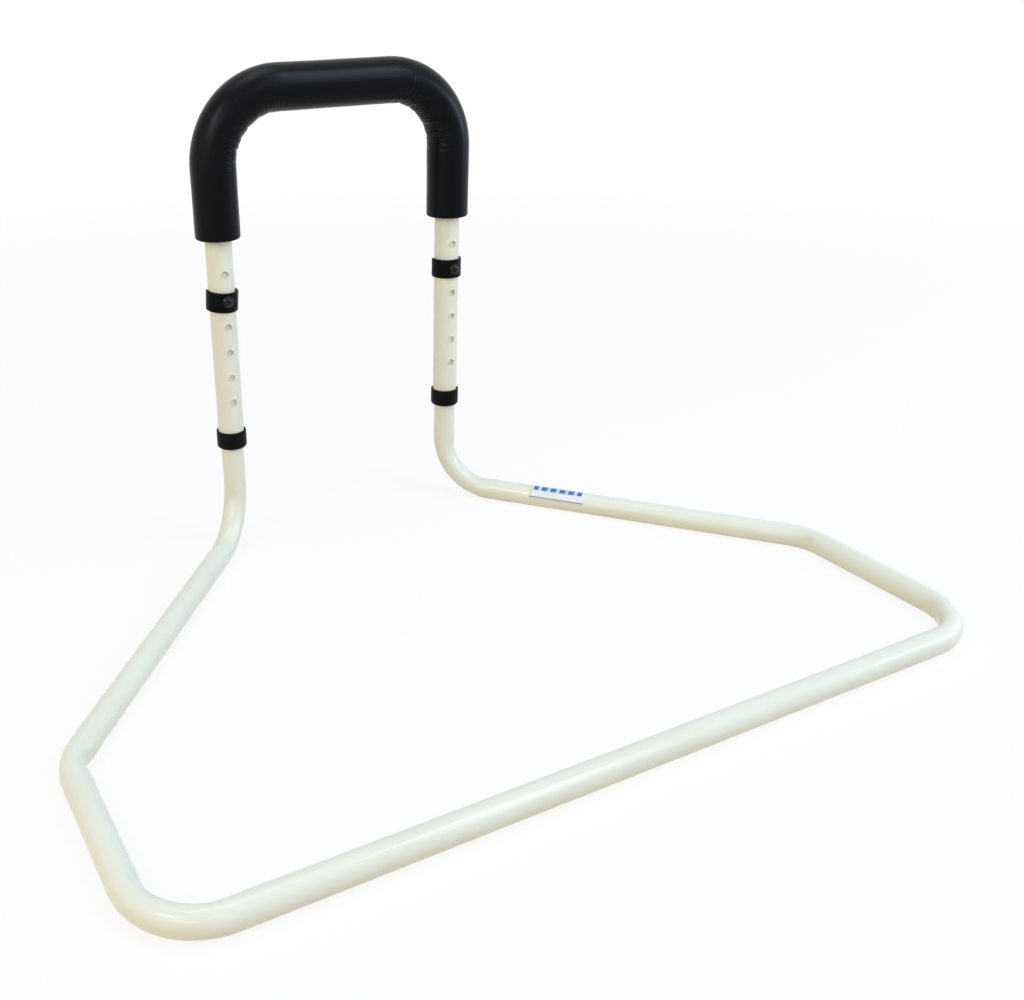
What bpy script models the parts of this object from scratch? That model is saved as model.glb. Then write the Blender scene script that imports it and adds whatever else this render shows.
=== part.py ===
"""Bed assist bar: a bent steel base that lies under a mattress, and a padded handle
that telescopes on the base's two uprights and is locked by a spring clip on each leg.

Metres, +Z up. The front bar runs along X, the handle stands at the back (+Y), the base
rests on z = 0, and the origin is the centre of the footprint.
"""
import math

import bmesh
import bpy
from mathutils import Vector

# Base: one continuous bent tube
BASE_TUBE_RADIUS = 0.0111
BASE_TUBE_WALL = 0.0015
BASE_HALF_WIDTH = 0.376          # side bar's centreline from the middle
BASE_DEPTH = 0.492               # front bar's centreline to the uprights
SIDE_BAR_START = 0.194           # from the front bar's centreline to where the arms turn in
BASE_BEND_RADIUS = 0.055         # centreline
UPRIGHT_TOP = 0.300              # open upper end, inside the handle's leg

# Handle: a U of wider tube that slides on the uprights
LEG_HALF_SPACING = 0.1245
HANDLE_TUBE_RADIUS = 0.0127
HANDLE_TUBE_WALL = 0.0012
HANDLE_TOP = 0.446               # top bar's centreline
HANDLE_BEND_RADIUS = 0.0665      # centreline
LEG_END = 0.1103                 # lower end of each leg

# Height adjustment
HOLE_COUNT = 6
HOLE_PITCH = 0.0254
HOLE_RADIUS = 0.00325
TOP_HOLE = 0.2842
PINNED_HOLE = 1                  # counted down from the top hole, which is 0

# Grip sleeve
GRIP_RADIUS = 0.0212
LEFT_GRIP_END = 0.316            # lower end on the left leg
RIGHT_GRIP_END = 0.3115          # the sleeve sits a little further down the right leg

# Collar pressed on the lower end of each leg
COLLAR_RADIUS = 0.01475
COLLAR_HEIGHT = 0.0176
COLLAR_LIP = 0.003               # thickness of the lip under the leg's end
COLLAR_CHAMFER = 0.002
COLLAR_TOP_CHAMFER = 0.0005

# Spring clip: a C-shaped band with a stud through its middle
CLIP_WALL = 0.0023
CLIP_HEIGHT = 0.019
CLIP_EDGE = 0.0005               # rounded edge
CLIP_EDGE_STEPS = 2
CLIP_WRAP = 15                   # facets of the band, out of SIDES round the leg
STUD_HEAD_RADIUS = 0.0060
STUD_HEAD_HEIGHT = 0.0018        # straight part of the head, outside the band
STUD_DOME_HEIGHT = 0.0026
STUD_ROOT = 0.0008               # how far the head starts inside the band's wall
PIN_RADIUS = 0.0029
PIN_REACH = 0.0035               # past the upright's inner wall
PIN_CHAMFER = 0.0006

# Blank label on the right arm
LABEL_START = 0.103              # along the arm, from the upright's axis
LABEL_LENGTH = 0.059
LABEL_WRAP = 10                  # flats, out of SIDES round the arm
LABEL_BACK = 4                   # how many of them lie past the topmost flat
LABEL_THICKNESS = 0.0003

# Clearances
SEAT_GAP = 0.0003                # between pieces that touch
SLIDE_GAP = 0.0004               # between a leg and its upright

# Facets
SIDES = 24                       # round every tube
BEND_STEP = math.radians(10)     # along every bend
PIN_SIDES = 16
DOME_STEPS = 4
SMOOTH_UP_TO = math.radians(40)   # steeper edges are shaded sharp
ROUND_FROM = math.radians(60)     # steeper edges of a clip are rounded

# A flat of a faceted tube, not a corner, lies at its radius
FLAT_TO_CORNER = 1 / math.cos(math.pi / SIDES)
HALF_FACET = math.pi / SIDES
FACET = 2 * math.pi / SIDES

HANDLE_Y = (BASE_DEPTH + BASE_TUBE_RADIUS - GRIP_RADIUS) / 2
FRONT_Y = HANDLE_Y - BASE_DEPTH
SIDE_Y = FRONT_Y + SIDE_BAR_START
BASE_Z = BASE_TUBE_RADIUS
ARM_TURN = math.atan2(BASE_HALF_WIDTH - LEG_HALF_SPACING, HANDLE_Y - SIDE_Y)
PIN_Z = TOP_HOLE - PINNED_HOLE * HOLE_PITCH
CLIP_RADIUS = HANDLE_TUBE_RADIUS + SEAT_GAP
LEGS = (("left", -1), ("right", 1))


def clear_scene():
    for item in list(bpy.data.objects):
        bpy.data.objects.remove(item)


def collection(name):
    group = bpy.data.collections.new(name)
    bpy.context.scene.collection.children.link(group)
    return group


def material(name, colour, roughness, metallic=0.0):
    mat = bpy.data.materials.new(name)
    mat.use_nodes = True
    shader = mat.node_tree.nodes["Principled BSDF"]
    shader.inputs["Base Color"].default_value = (*colour, 1)
    shader.inputs["Roughness"].default_value = roughness
    shader.inputs["Metallic"].default_value = metallic
    return mat


def rounded_path(corners, radius):
    """The corners joined by straight runs, with an arc of the given radius at each turn."""
    points = [corners[0]]
    for before, corner, after in zip(corners, corners[1:], corners[2:]):
        back = (before - corner).normalized()
        ahead = (after - corner).normalized()
        turn = math.pi - back.angle(ahead)
        reach = radius * math.tan(turn / 2)
        centre = corner + (back + ahead).normalized() * (radius / math.cos(turn / 2))
        first = corner + back * reach - centre
        sideways = -back
        steps = max(2, math.ceil(turn / BEND_STEP - 1e-6))
        for step in range(steps + 1):
            angle = turn * step / steps
            points.append(centre + first * math.cos(angle) + sideways * radius * math.sin(angle))
    points.append(corners[-1])
    return points


def tube_surface(name, points, radius, turn=0.0):
    """An open tube along the points, as a mesh whose flats lie at the radius.

    At an upright first point a flat faces -Y, before all the rings are turned.
    """
    data = bpy.data.curves.new(name, "CURVE")
    data.dimensions = "3D"
    data.bevel_depth = radius * FLAT_TO_CORNER
    data.bevel_resolution = SIDES // 2 - 2
    spline = data.splines.new("POLY")
    spline.points.add(len(points) - 1)
    for target, point in zip(spline.points, points):
        target.co = (*point, 1)
        target.tilt = HALF_FACET + turn
    curve = bpy.data.objects.new(name + "_curve", data)
    bpy.context.scene.collection.objects.link(curve)
    evaluated = curve.evaluated_get(bpy.context.evaluated_depsgraph_get())
    mesh = bpy.data.meshes.new_from_object(evaluated)
    mesh.name = name
    bpy.data.objects.remove(curve)
    return mesh


def add_object(name, mesh, mat, group, parent=None, location=(0, 0, 0)):
    mesh.materials.clear()
    mesh.materials.append(mat)
    item = bpy.data.objects.new(name, mesh)
    item.location = location
    item.parent = parent
    group.objects.link(item)
    return item


def add_wall(item, thickness, offset=-1):
    """Gives an open surface its wall, inwards or, with an offset of 1, outwards."""
    wall = item.modifiers.new("wall", "SOLIDIFY")
    wall.thickness = thickness
    wall.offset = offset
    wall.use_even_offset = True


def shade(item):
    item.data.shade_smooth()
    item.data.set_sharp_from_angle(angle=SMOOTH_UP_TO)


def add_boolean(item, other, operation):
    change = item.modifiers.new(operation.lower(), "BOOLEAN")
    change.object = other
    change.operation = operation


def add_cutter(name, radius, length, centre, group):
    """A round cutter along Y."""
    bm = bmesh.new()
    bmesh.ops.create_cone(bm, cap_ends=True, segments=PIN_SIDES, radius1=radius,
                          radius2=radius, depth=length)
    mesh = bpy.data.meshes.new(name)
    bm.to_mesh(mesh)
    bm.free()
    cutter = bpy.data.objects.new(name, mesh)
    cutter.location = centre
    cutter.rotation_euler = (math.pi / 2, 0, 0)
    cutter.hide_render = True
    cutter.display_type = "WIRE"
    group.objects.link(cutter)
    return cutter


def turned(name, profile, steps, mat, group, phase=0.0):
    """A closed solid of revolution about its own Z from (radius, height) points.

    The profile runs down its outer side, and phase turns its first facet corner.
    """
    bm = bmesh.new()
    corners = [bm.verts.new((radius * math.cos(phase), radius * math.sin(phase), height))
               for radius, height in profile]
    for one, other in zip(corners, corners[1:]):
        bm.edges.new((one, other))
    if profile[0][0] > 0:
        bm.edges.new((corners[-1], corners[0]))
    mesh = bpy.data.meshes.new(name)
    bm.to_mesh(mesh)
    bm.free()
    item = add_object(name, mesh, mat, group)
    screw = item.modifiers.new("turn", "SCREW")
    screw.axis = "Z"
    screw.steps = steps
    screw.render_steps = steps
    screw.use_merge_vertices = True
    screw.merge_threshold = 0.00001
    return item


def base_frame(mat, group, cutters):
    """The base's single tube: upright, arm, side bar, front bar and back up again."""
    uprights = [Vector((side * LEG_HALF_SPACING, HANDLE_Y, 0)) for side in (-1, 1)]
    left_half = [
        uprights[0] + Vector((0, 0, UPRIGHT_TOP)),
        uprights[0] + Vector((0, 0, BASE_Z)),
        Vector((-BASE_HALF_WIDTH, SIDE_Y, BASE_Z)),
        Vector((-BASE_HALF_WIDTH, FRONT_Y, BASE_Z)),
    ]
    right_half = [Vector((-corner.x, corner.y, corner.z)) for corner in reversed(left_half)]
    path = rounded_path(left_half + right_half, BASE_BEND_RADIUS)
    surface = tube_surface("base_frame", path, BASE_TUBE_RADIUS, turn=ARM_TURN)
    frame = add_object("base_frame", surface, mat, group)
    add_wall(frame, BASE_TUBE_WALL)
    for name, side in LEGS:
        centre = (side * LEG_HALF_SPACING, HANDLE_Y - BASE_TUBE_RADIUS, PIN_Z)
        hole = add_cutter(name + "_upright_hole", HOLE_RADIUS, 2 * BASE_TUBE_RADIUS, centre, cutters)
        add_boolean(frame, hole, "DIFFERENCE")
    shade(frame)


def handle_path(left_end, right_end):
    corners = [
        Vector((-LEG_HALF_SPACING, HANDLE_Y, left_end)),
        Vector((-LEG_HALF_SPACING, HANDLE_Y, HANDLE_TOP)),
        Vector((LEG_HALF_SPACING, HANDLE_Y, HANDLE_TOP)),
        Vector((LEG_HALF_SPACING, HANDLE_Y, right_end)),
    ]
    return rounded_path(corners, HANDLE_BEND_RADIUS)


def handle_tube(mat, group, cutters, slider):
    surface = tube_surface("handle_tube", handle_path(LEG_END, LEG_END), HANDLE_TUBE_RADIUS)
    handle = add_object("handle_tube", surface, mat, group, slider)
    add_wall(handle, HANDLE_TUBE_WALL)
    for name, side in LEGS:
        for number in range(HOLE_COUNT):
            centre = (side * LEG_HALF_SPACING, HANDLE_Y - HANDLE_TUBE_RADIUS,
                      TOP_HOLE - number * HOLE_PITCH)
            hole = add_cutter(f"{name}_leg_hole_{number + 1}", HOLE_RADIUS,
                              2 * HANDLE_TUBE_RADIUS, centre, cutters)
            add_boolean(handle, hole, "DIFFERENCE")
    shade(handle)


def grip_sleeve(mat, group, slider):
    surface = tube_surface("grip_sleeve", handle_path(LEFT_GRIP_END, RIGHT_GRIP_END), GRIP_RADIUS)
    grip = add_object("grip_sleeve", surface, mat, group, slider)
    add_wall(grip, GRIP_RADIUS - HANDLE_TUBE_RADIUS - SEAT_GAP)
    shade(grip)


def collar(name, side, mat, group, slider):
    """A bush on the leg's end, with a lip that guides the upright."""
    bottom = -COLLAR_LIP - SEAT_GAP
    top = bottom + COLLAR_HEIGHT
    on_leg = HANDLE_TUBE_RADIUS + SEAT_GAP
    on_upright = BASE_TUBE_RADIUS + SLIDE_GAP
    profile = [
        (on_leg, top),
        (COLLAR_RADIUS - COLLAR_TOP_CHAMFER, top),
        (COLLAR_RADIUS, top - COLLAR_TOP_CHAMFER),
        (COLLAR_RADIUS, bottom + COLLAR_CHAMFER),
        (COLLAR_RADIUS - COLLAR_CHAMFER, bottom),
        (on_upright, bottom),
        (on_upright, -SEAT_GAP),
        (on_leg, -SEAT_GAP),
    ]
    corners = [(radius * FLAT_TO_CORNER, height) for radius, height in profile]
    bush = turned(name + "_collar", corners, SIDES, mat, group, phase=HALF_FACET)
    bush.location = (side * LEG_HALF_SPACING, HANDLE_Y, LEG_END)
    bush.parent = slider
    shade(bush)


def face_outwards(bm, point, axis):
    """Turns an open surface's faces away from the axis through the point."""
    bmesh.ops.recalc_face_normals(bm, faces=bm.faces)
    bm.faces.ensure_lookup_table()
    spoke = bm.faces[0].calc_center_median() - point
    spoke -= axis * spoke.dot(axis)
    if bm.faces[0].normal.dot(spoke) < 0:
        bmesh.ops.reverse_faces(bm, faces=bm.faces)


def clip_band(name, mat, group):
    """A C-shaped band round the leg, open at the back, centred on its own origin."""
    first = -math.pi / 2 - CLIP_WRAP * FACET / 2
    radius = CLIP_RADIUS * FLAT_TO_CORNER
    bm = bmesh.new()
    ends = [bm.verts.new((radius * math.cos(first), radius * math.sin(first), height))
            for height in (CLIP_HEIGHT / 2, -CLIP_HEIGHT / 2)]
    edge = bm.edges.new(ends)
    bmesh.ops.spin(bm, geom=ends + [edge], axis=(0, 0, 1), cent=(0, 0, 0),
                   angle=CLIP_WRAP * FACET, steps=CLIP_WRAP, use_merge=False)
    face_outwards(bm, Vector((0, 0, 0)), Vector((0, 0, 1)))
    mesh = bpy.data.meshes.new(name)
    bm.to_mesh(mesh)
    bm.free()
    band = add_object(name, mesh, mat, group)
    add_wall(band, CLIP_WALL, offset=1)
    rounding = band.modifiers.new("rounded edge", "BEVEL")
    rounding.width = CLIP_EDGE
    rounding.segments = CLIP_EDGE_STEPS
    rounding.limit_method = "ANGLE"
    rounding.angle_limit = ROUND_FROM
    return band


def clip_stud(name, mat, group):
    """A domed button outside the band and the pin behind it, turned about its own Z."""
    head_base = CLIP_RADIUS + CLIP_WALL - STUD_ROOT
    head_top = CLIP_RADIUS + CLIP_WALL + STUD_HEAD_HEIGHT
    pin_end = BASE_TUBE_RADIUS - BASE_TUBE_WALL - PIN_REACH
    dome = []
    for step in range(DOME_STEPS + 1):
        angle = math.pi / 2 * (1 - step / DOME_STEPS)
        dome.append((STUD_HEAD_RADIUS * math.cos(angle), head_top + STUD_DOME_HEIGHT * math.sin(angle)))
    profile = [
        *dome,
        (STUD_HEAD_RADIUS, head_base),
        (PIN_RADIUS, head_base),
        (PIN_RADIUS, pin_end + PIN_CHAMFER),
        (PIN_RADIUS - PIN_CHAMFER, pin_end),
        (0, pin_end),
    ]
    profile[0] = (0, profile[0][1])
    stud = turned(name, profile, PIN_SIDES, mat, group)
    stud.rotation_euler = (math.pi / 2, 0, 0)
    stud.hide_render = True
    stud.display_type = "WIRE"
    return stud


def spring_clip(name, side, mat, group, cutters, pull):
    band = clip_band(name + "_clip", mat, group)
    stud = clip_stud(name + "_clip_stud", mat, cutters)
    for piece in (band, stud):
        piece.location = (side * LEG_HALF_SPACING, HANDLE_Y, PIN_Z)
        piece.parent = pull
    add_boolean(band, stud, "UNION")
    shade(band)


def label(mat, group):
    """A blank label curved over the top and the inner side of the right arm."""
    start = Vector((LEG_HALF_SPACING, HANDLE_Y, BASE_Z))
    end = Vector((BASE_HALF_WIDTH, SIDE_Y, BASE_Z))
    along = (end - start).normalized()
    up = Vector((0, 0, 1))
    inwards = along.cross(up)
    radius = (BASE_TUBE_RADIUS + SEAT_GAP) * FLAT_TO_CORNER
    angle = -(LABEL_BACK + 0.5) * FACET
    spoke = up * math.cos(angle) + inwards * math.sin(angle)
    bm = bmesh.new()
    corners = [bm.verts.new(start + along * distance + spoke * radius)
               for distance in (LABEL_START, LABEL_START + LABEL_LENGTH)]
    edge = bm.edges.new(corners)
    bmesh.ops.spin(bm, geom=corners + [edge], axis=up.cross(inwards), cent=start,
                   angle=LABEL_WRAP * FACET, steps=LABEL_WRAP, use_merge=False)
    face_outwards(bm, start, along)
    mesh = bpy.data.meshes.new("label")
    bm.to_mesh(mesh)
    bm.free()
    sticker = add_object("label", mesh, mat, group)
    add_wall(sticker, LABEL_THICKNESS, offset=1)


def joint_empty(name, location, group):
    marker = bpy.data.objects.new(name, None)
    group.objects.link(marker)
    marker.location = location
    return marker


def build():
    clear_scene()
    parts = collection("bed_assist_bar")
    cutters = collection("cutters")
    paint = material("cream_paint", (0.79, 0.77, 0.65), 0.22)
    foam = material("black_foam", (0.012, 0.012, 0.014), 0.5)
    plastic = material("black_plastic", (0.02, 0.02, 0.021), 0.35)
    paper = material("white_label", (0.86, 0.87, 0.88), 0.4)

    base_frame(paint, parts, cutters)
    slider = joint_empty("handle_height", (0, 0, 0), parts)
    handle_tube(paint, parts, cutters, slider)
    grip_sleeve(foam, parts, slider)
    for name, side in LEGS:
        collar(name, side, plastic, parts, slider)
        pull = joint_empty(name + "_clip_pull", (0, 0, 0), parts)
        spring_clip(name, side, plastic, parts, cutters, pull)
    label(paper, parts)


build()
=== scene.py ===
# %% [markdown]
# # A bed assist bar, finished for a picture
#
# The bar is two bent steel tubes. The base lies under a mattress, and the handle, a U of wider
# tube with a foam grip, slides on the base's two uprights and is held by a spring clip on each leg.
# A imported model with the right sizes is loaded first. It stays where it is, and each finished
# piece here takes the place of one of its solids and rides on the same moving body.

# %% Load the measured model
import math
import random

import bmesh
import bpy
from mathutils import Matrix, Vector, noise


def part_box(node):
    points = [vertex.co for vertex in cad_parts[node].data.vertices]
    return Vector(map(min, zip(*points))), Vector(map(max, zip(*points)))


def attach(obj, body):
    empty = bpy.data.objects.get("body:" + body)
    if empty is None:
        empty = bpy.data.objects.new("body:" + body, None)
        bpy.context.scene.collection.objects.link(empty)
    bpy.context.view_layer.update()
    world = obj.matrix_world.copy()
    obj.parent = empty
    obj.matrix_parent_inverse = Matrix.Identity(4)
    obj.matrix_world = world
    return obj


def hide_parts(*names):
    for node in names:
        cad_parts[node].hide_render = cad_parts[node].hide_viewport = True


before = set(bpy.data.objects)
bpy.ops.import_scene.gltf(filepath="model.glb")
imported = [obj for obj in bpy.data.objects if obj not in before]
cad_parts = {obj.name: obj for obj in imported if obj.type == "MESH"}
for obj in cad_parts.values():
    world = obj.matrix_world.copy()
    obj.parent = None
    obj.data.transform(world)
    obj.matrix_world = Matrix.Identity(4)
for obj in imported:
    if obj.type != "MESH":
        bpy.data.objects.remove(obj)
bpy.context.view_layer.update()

print("solids:", sorted(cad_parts))

# %% [markdown]
# ## Sizes
#
# Most sizes can be read off the model, because each solid's box gives the outer faces of a tube.
# A tube's axis lies one radius inside them. Only what a box can't tell is written here as a number:
# the tubes' radii and walls, the bends, the length of the side bars, the holes' places and how much
# further down the right leg the grip reaches.

# %% Driving sizes
MM = 0.001
BASE_RADIUS = 11.1 * MM
BASE_WALL = 1.5 * MM
LEG_RADIUS = 12.7 * MM
LEG_WALL = 1.2 * MM
GRIP_RADIUS = 21.2 * MM
BASE_BEND = 55 * MM
HANDLE_BEND = 66.5 * MM
SIDE_BAR = 194 * MM
HOLE_PITCH = 25.4 * MM
TOP_HOLE = 284.2 * MM
HOLE_COUNT = 6
PINNED_HOLE = 1
GRIP_SLANT = 4.5 * MM

base_low, base_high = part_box("base_frame")
handle_low, handle_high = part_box("handle_tube")

SIDE_X = base_high.x - BASE_RADIUS
FRONT_Y = base_low.y + BASE_RADIUS
SIDE_Y = FRONT_Y + SIDE_BAR
UPRIGHT_TOP = base_high.z
LEG_X = handle_high.x - LEG_RADIUS
LEG_Y = (handle_low.y + handle_high.y) / 2
LEG_END = handle_low.z
HANDLE_TOP = handle_high.z - LEG_RADIUS
RIGHT_GRIP_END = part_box("grip_sleeve")[0].z
LEFT_GRIP_END = RIGHT_GRIP_END + GRIP_SLANT
PIN_Z = TOP_HOLE - PINNED_HOLE * HOLE_PITCH

UP = Vector((0, 0, 1))
DOWN = -UP
RIGHT = Vector((1, 0, 0))
FORWARD = Vector((0, -1, 0))
print(f"legs stand {2 * LEG_X / MM:.1f} mm apart, {(LEG_Y - FRONT_Y) / MM:.1f} mm behind the front bar")

# %% [markdown]
# ## Nodes for the finishes
#
# A finish is a small network: a shader, some noise for what the eye reads as paint or foam, and a
# bump that turns the noise into a surface. Building it by hand takes three lines a node, so a few
# helpers keep the recipes short. Patterns are read in object coordinates. Every piece here has its
# object at the origin, so those are plain metres and a pattern keeps its real size.

# %% Helpers for node networks
def new_finish(name):
    mat = bpy.data.materials.new(name)
    mat.use_nodes = True
    return mat, mat.node_tree.nodes["Principled BSDF"]


def add_node(owner, kind, inputs=None, **settings):
    """A node with its settings and inputs: a value is set, and a socket is linked."""
    node = owner.node_tree.nodes.new(kind)
    for key, value in settings.items():
        setattr(node, key, value)
    for key, value in (inputs or {}).items():
        if isinstance(value, bpy.types.NodeSocket):
            owner.node_tree.links.new(value, node.inputs[key])
        else:
            node.inputs[key].default_value = value
    return node


def calculate(owner, operation, *values):
    inputs = dict(enumerate(values))
    return add_node(owner, "ShaderNodeMath", inputs, operation=operation).outputs[0]


def place_in_metres(mat):
    return add_node(mat, "ShaderNodeTexCoord").outputs["Object"]


def add_bump(mat, height, distance, strength=1.0, below=None):
    inputs = {"Height": height, "Distance": distance, "Strength": strength}
    if below is not None:
        inputs["Normal"] = below
    return add_node(mat, "ShaderNodeBump", inputs).outputs["Normal"]


def spread(mat, value, low, high, to_low=0.0, to_high=1.0):
    return add_node(mat, "ShaderNodeMapRange", {
        "Value": value, "From Min": low, "From Max": high, "To Min": to_low, "To Max": to_high,
    }).outputs["Result"]


def mix_colour(mat, share, one, other):
    node = add_node(mat, "ShaderNodeMix", data_type="RGBA")
    for socket, value in (("Factor", share), ("A", one), ("B", other)):
        slot = next(s for s in node.inputs if s.name == socket and s.enabled)
        if isinstance(value, bpy.types.NodeSocket):
            mat.node_tree.links.new(value, slot)
        else:
            slot.default_value = value
    return next(s for s in node.outputs if s.enabled)

# %% [markdown]
# ## Powder coat
#
# The tubes are powder coated: dry paint sprayed on by static and melted in an oven. It flows into a
# glossy skin that isn't quite flat. Swells about two millimetres wide, called orange peel, make a
# straight reflection tremble, and a few specks of dust are baked in. The colour varies a little with
# thickness. A clear coat on the shader gives the sharp reflection over a softer body.

# %% Powder coat finish
CREAM = (0.80, 0.81, 0.70, 1)
CREAM_THIN = (0.77, 0.77, 0.65, 1)


def powder_coat():
    mat, shader = new_finish("cream_powder_coat")
    where = place_in_metres(mat)
    cloud = add_node(mat, "ShaderNodeTexNoise", {"Vector": where, "Scale": 14.0, "Detail": 3.0})
    peel = add_node(mat, "ShaderNodeTexNoise", {"Vector": where, "Scale": 420.0, "Detail": 1.0})
    speck = add_node(mat, "ShaderNodeTexVoronoi", {"Vector": where, "Scale": 95.0})
    thin = spread(mat, cloud.outputs["Fac"], 0.42, 0.75)
    dust = spread(mat, speck.outputs["Distance"], 0.03, 0.055, 1.0, 0.0)
    body = mix_colour(mat, thin, CREAM, CREAM_THIN)
    dusty = mix_colour(mat, spread(mat, dust, 0, 1, 0, 0.35), body, (0.45, 0.40, 0.30, 1))
    mat.node_tree.links.new(dusty, shader.inputs["Base Color"])
    fine_waves = add_bump(mat, peel.outputs["Fac"], 0.04 * MM, 0.25)
    mat.node_tree.links.new(fine_waves, shader.inputs["Normal"])
    mat.node_tree.links.new(fine_waves, shader.inputs["Coat Normal"])
    shader.inputs["Roughness"].default_value = 0.30
    shader.inputs["Specular IOR Level"].default_value = 0.10
    shader.inputs["Coat Weight"].default_value = 0.45
    shader.inputs["Coat Roughness"].default_value = 0.03
    return mat


paint = powder_coat()
print("finish:", paint.name)

# %% [markdown]
# ## Foam skin
#
# The grip is a closed-cell rubber foam sleeve. Where it was extruded it has a thin skin, nearly black,
# with a satin sheen and pores too small to see one by one. Its reflections are tinted faintly blue, a
# painted tint of light that stands in for the cool window. The pores are a bump, a tenth of a
# millimetre or less. Wider, fainter unevenness breaks up the long highlight.

# %% Foam finish
def foam_skin():
    mat, shader = new_finish("black_foam_skin")
    where = place_in_metres(mat)
    pores = add_node(mat, "ShaderNodeTexNoise", {"Vector": where, "Scale": 1400.0, "Detail": 2.0})
    grain = add_node(mat, "ShaderNodeTexNoise", {"Vector": where, "Scale": 220.0, "Detail": 3.0})
    cloud = add_node(mat, "ShaderNodeTexNoise", {"Vector": where, "Scale": 35.0, "Detail": 2.0})
    tone = spread(mat, cloud.outputs["Fac"], 0.35, 0.7)
    body = mix_colour(mat, tone, (0.0002, 0.0002, 0.0003, 1), (0.0006, 0.0006, 0.0008, 1))
    mat.node_tree.links.new(body, shader.inputs["Base Color"])
    waves = add_bump(mat, grain.outputs["Fac"], 0.12 * MM, 0.2)
    skin = add_bump(mat, pores.outputs["Fac"], 0.03 * MM, 0.25, waves)
    mat.node_tree.links.new(skin, shader.inputs["Normal"])
    shader.inputs["Roughness"].default_value = 0.31
    shader.inputs["Specular IOR Level"].default_value = 0.12
    # Painted light: the blue tint of the reflections stands in for the cool window light, not the foam's
    # colour.
    shader.inputs["Specular Tint"].default_value = (0.78, 0.89, 1.0, 1)
    return mat


foam = foam_skin()
print("finish:", foam.name)

# %% [markdown]
# ## Moulded plastic
#
# The clips and the bushes are moulded in black plastic. A mould is usually etched with a fine even
# texture that hides sink marks, so the gloss is broken into a satin. The clips' buttons come from
# a polished part of the mould and shine more.

# %% Plastic finish
def moulded_plastic(name, roughness, texture, shine):
    mat, shader = new_finish(name)
    where = place_in_metres(mat)
    etch = add_node(mat, "ShaderNodeTexNoise", {"Vector": where, "Scale": 900.0, "Detail": 2.0})
    sink = add_node(mat, "ShaderNodeTexNoise", {"Vector": where, "Scale": 120.0, "Detail": 1.0})
    tone = spread(mat, sink.outputs["Fac"], 0.35, 0.65)
    body = mix_colour(mat, tone, (0.0020, 0.0018, 0.0020, 1), (0.0034, 0.0030, 0.0034, 1))
    mat.node_tree.links.new(body, shader.inputs["Base Color"])
    waves = add_bump(mat, sink.outputs["Fac"], 0.2 * MM, 0.3)
    skin = add_bump(mat, etch.outputs["Fac"], texture, 0.7, waves)
    mat.node_tree.links.new(skin, shader.inputs["Normal"])
    shader.inputs["Roughness"].default_value = roughness
    shader.inputs["Specular IOR Level"].default_value = shine
    return mat


clip_plastic = moulded_plastic("black_clip_plastic", roughness=0.32, texture=0.02 * MM, shine=0.06)
button_plastic = moulded_plastic("black_button_plastic", roughness=0.14, texture=0.01 * MM, shine=0.20)
bush_plastic = moulded_plastic("black_bush_plastic", roughness=0.46, texture=0.04 * MM, shine=0.08)
print("finishes:", clip_plastic.name, button_plastic.name, bush_plastic.name)

# %% [markdown]
# ## Bending a tube as a bender does
#
# A tube bender knows three moves: push the tube forward, bend it round a die, and turn it. The same
# moves make a clean mesh. A ring of edges is extruded and moved along for a straight run, and
# extruded and rotated about the die's centre for a bend. The helper notes each ring as it goes, with
# its centre and its place in the bend, so that later steps can flatten, dent or wrinkle a bend
# where a real one would be.

# %% Helpers for bent tubes
def load_tube(start, along, radius, sides):
    """A bmesh that holds the first ring of a tube, and the notes on it."""
    bm = bmesh.new()
    circle = bmesh.ops.create_circle(bm, segments=sides, radius=radius)["verts"]
    square = UP.rotation_difference(along).to_matrix()
    bmesh.ops.rotate(bm, verts=circle, matrix=square)
    bmesh.ops.translate(bm, verts=circle, vec=start)
    tube = {"bm": bm, "edges": list(bm.edges), "here": start.copy(), "along": along.normalized(),
            "rings": [], "bends": [], "run": 0.0}
    note_ring(tube, circle)
    return tube


def note_ring(tube, corners, inner=None, share=0.0):
    """Notes a ring. One in a bend also has the bend's number, inner direction and share done."""
    number = None if inner is None else len(tube["bends"])
    tube["rings"].append({"corners": corners, "centre": tube["here"].copy(), "run": tube["run"],
                          "along": tube["along"].copy(), "inner": inner, "share": share,
                          "bend": number})


def grow_ring(bm, edges):
    """Extrudes a ring of edges, and returns the new ring's corners and edges."""
    old = {corner for edge in edges for corner in edge.verts}
    grown = bmesh.ops.extrude_edge_only(bm, edges=edges)["geom"]
    corners = {item for item in grown if isinstance(item, bmesh.types.BMVert)} - old
    edges = [item for item in grown if isinstance(item, bmesh.types.BMEdge) and set(item.verts) <= corners]
    return list(corners), edges


def push(tube, length, steps=1):
    """A straight run."""
    stride = tube["along"] * (length / steps)
    for step in range(steps):
        corners, tube["edges"] = grow_ring(tube["bm"], tube["edges"])
        bmesh.ops.translate(tube["bm"], verts=corners, vec=stride)
        tube["here"] += stride
        tube["run"] += stride.length
        note_ring(tube, corners)


def bend(tube, inner, radius, angle, steps, humps=((0, 1), (0, 1)), dent=1.0):
    """A bend of the given centreline radius towards the inner direction.

    The humps are how far before and after the bend the spare metal gathers, with its share of
    the usual height, and the dent is the bend's share of the usual dent.
    """
    inner = inner.normalized()
    die = tube["here"] + inner * radius
    axis = tube["along"].cross(inner)
    turn = Matrix.Rotation(angle / steps, 3, axis)
    first = tube["run"]
    for step in range(steps):
        corners, tube["edges"] = grow_ring(tube["bm"], tube["edges"])
        bmesh.ops.rotate(tube["bm"], verts=corners, cent=die, matrix=turn)
        tube["here"] = die + turn @ (tube["here"] - die)
        tube["along"] = turn @ tube["along"]
        tube["run"] += radius * angle / steps
        towards = (die - tube["here"]).normalized()
        note_ring(tube, corners, towards, (step + 1) / steps)
    tube["bends"].append({"first": first, "last": tube["run"], "enters": inner, "leaves": towards,
                          "humps": humps, "dent": dent})
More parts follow.
